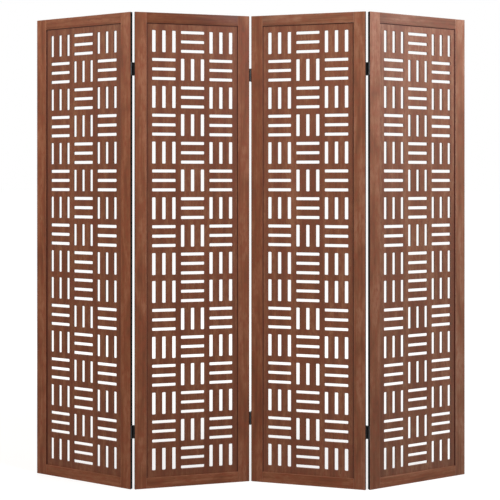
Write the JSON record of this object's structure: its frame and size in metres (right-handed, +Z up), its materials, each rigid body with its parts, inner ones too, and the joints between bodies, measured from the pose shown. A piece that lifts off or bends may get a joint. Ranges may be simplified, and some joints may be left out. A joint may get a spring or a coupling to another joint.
{
  "type": "folding room divider",
  "caption": "Free-standing folding screen: narrow framed wooden panels filled with pierced fretwork boards and joined by small black double-acting hinges.",
  "frame": {"origin": "on the floor, under the centre of the box of the standing screen", "axes": "+X to the right along the screen as seen from the front, +Y to the back, +Z up along the panels"},
  "size_m": [1.6982, 0.207, 1.8],
  "materials": {
    "frame_wood": "reddish brown stain, satin, grain along each piece",
    "fretboard_wood": "reddish brown stain, satin, grain upright",
    "black_hinge": "black enamel, semi-gloss",
    "hinge_pin": "black enamel, semi-gloss"
  },
  "bodies": {
    "panel_1": {"fold_1_bottom_front_leaf": "black_hinge", "fold_1_top_front_leaf": "black_hinge", "panel_1_bottom_rail": "frame_wood", "panel_1_fretboard": "fretboard_wood", "panel_1_left_stile": "frame_wood", "panel_1_right_stile": "frame_wood", "panel_1_top_rail": "frame_wood"},
    "panel_2": {"fold_1_bottom_rear_leaf": "black_hinge", "fold_1_top_rear_leaf": "black_hinge", "fold_2_bottom_front_leaf": "black_hinge", "fold_2_top_front_leaf": "black_hinge", "panel_2_bottom_rail": "frame_wood", "panel_2_fretboard": "fretboard_wood", "panel_2_left_stile": "frame_wood", "panel_2_right_stile": "frame_wood", "panel_2_top_rail": "frame_wood"},
    "panel_3": {"fold_2_bottom_rear_leaf": "black_hinge", "fold_2_top_rear_leaf": "black_hinge", "fold_3_bottom_rear_leaf": "black_hinge", "fold_3_top_rear_leaf": "black_hinge", "panel_3_bottom_rail": "frame_wood", "panel_3_fretboard": "fretboard_wood", "panel_3_left_stile": "frame_wood", "panel_3_right_stile": "frame_wood", "panel_3_top_rail": "frame_wood"},
    "panel_4": {"fold_3_bottom_front_leaf": "black_hinge", "fold_3_top_front_leaf": "black_hinge", "panel_4_bottom_rail": "frame_wood", "panel_4_fretboard": "fretboard_wood", "panel_4_left_stile": "frame_wood", "panel_4_right_stile": "frame_wood", "panel_4_top_rail": "frame_wood"},
    "fold_1_links": {"fold_1_bottom_front_pin": "hinge_pin", "fold_1_bottom_link": "black_hinge", "fold_1_bottom_rear_pin": "hinge_pin", "fold_1_top_front_pin": "hinge_pin", "fold_1_top_link": "black_hinge", "fold_1_top_rear_pin": "hinge_pin"},
    "fold_2_links": {"fold_2_bottom_front_pin": "hinge_pin", "fold_2_bottom_link": "black_hinge", "fold_2_bottom_rear_pin": "hinge_pin", "fold_2_top_front_pin": "hinge_pin", "fold_2_top_link": "black_hinge", "fold_2_top_rear_pin": "hinge_pin"},
    "fold_3_links": {"fold_3_bottom_front_pin": "hinge_pin", "fold_3_bottom_link": "black_hinge", "fold_3_bottom_rear_pin": "hinge_pin", "fold_3_top_front_pin": "hinge_pin", "fold_3_top_link": "black_hinge", "fold_3_top_rear_pin": "hinge_pin"}
  },
  "joints": [
    {"name": "fold_1_rear_pin", "type": "hinge", "parent": "panel_2", "child": "fold_1_links", "pos_m": [-0.44079, -0.08702, 0.9], "axis": [0, 0, -1], "range_deg": [-38.5, 141.5]},
    {"name": "fold_1_front_pin", "type": "hinge", "parent": "fold_1_links", "child": "panel_1", "pos_m": [-0.44724, -0.10057, 0.9], "axis": [0, 0, -1], "range_deg": [-180, 0]},
    {"name": "fold_2_front_pin", "type": "hinge", "parent": "panel_2", "child": "fold_2_links", "pos_m": [0, -0.00025, 0.9], "axis": [0, 0, -1], "range_deg": [-26.1, 153.9]},
    {"name": "fold_2_rear_pin", "type": "hinge", "parent": "fold_2_links", "child": "panel_3", "pos_m": [0.00339, 0.01436, 0.9], "axis": [0, 0, -1], "range_deg": [-160, 0]},
    {"name": "fold_3_rear_pin", "type": "hinge", "parent": "panel_3", "child": "fold_3_links", "pos_m": [0.44079, -0.08702, 0.9], "axis": [0, 0, 1], "range_deg": [-38.5, 141.5]},
    {"name": "fold_3_front_pin", "type": "hinge", "parent": "fold_3_links", "child": "panel_4", "pos_m": [0.44724, -0.10057, 0.9], "axis": [0, 0, 1], "range_deg": [-180, 0]}
  ]
}
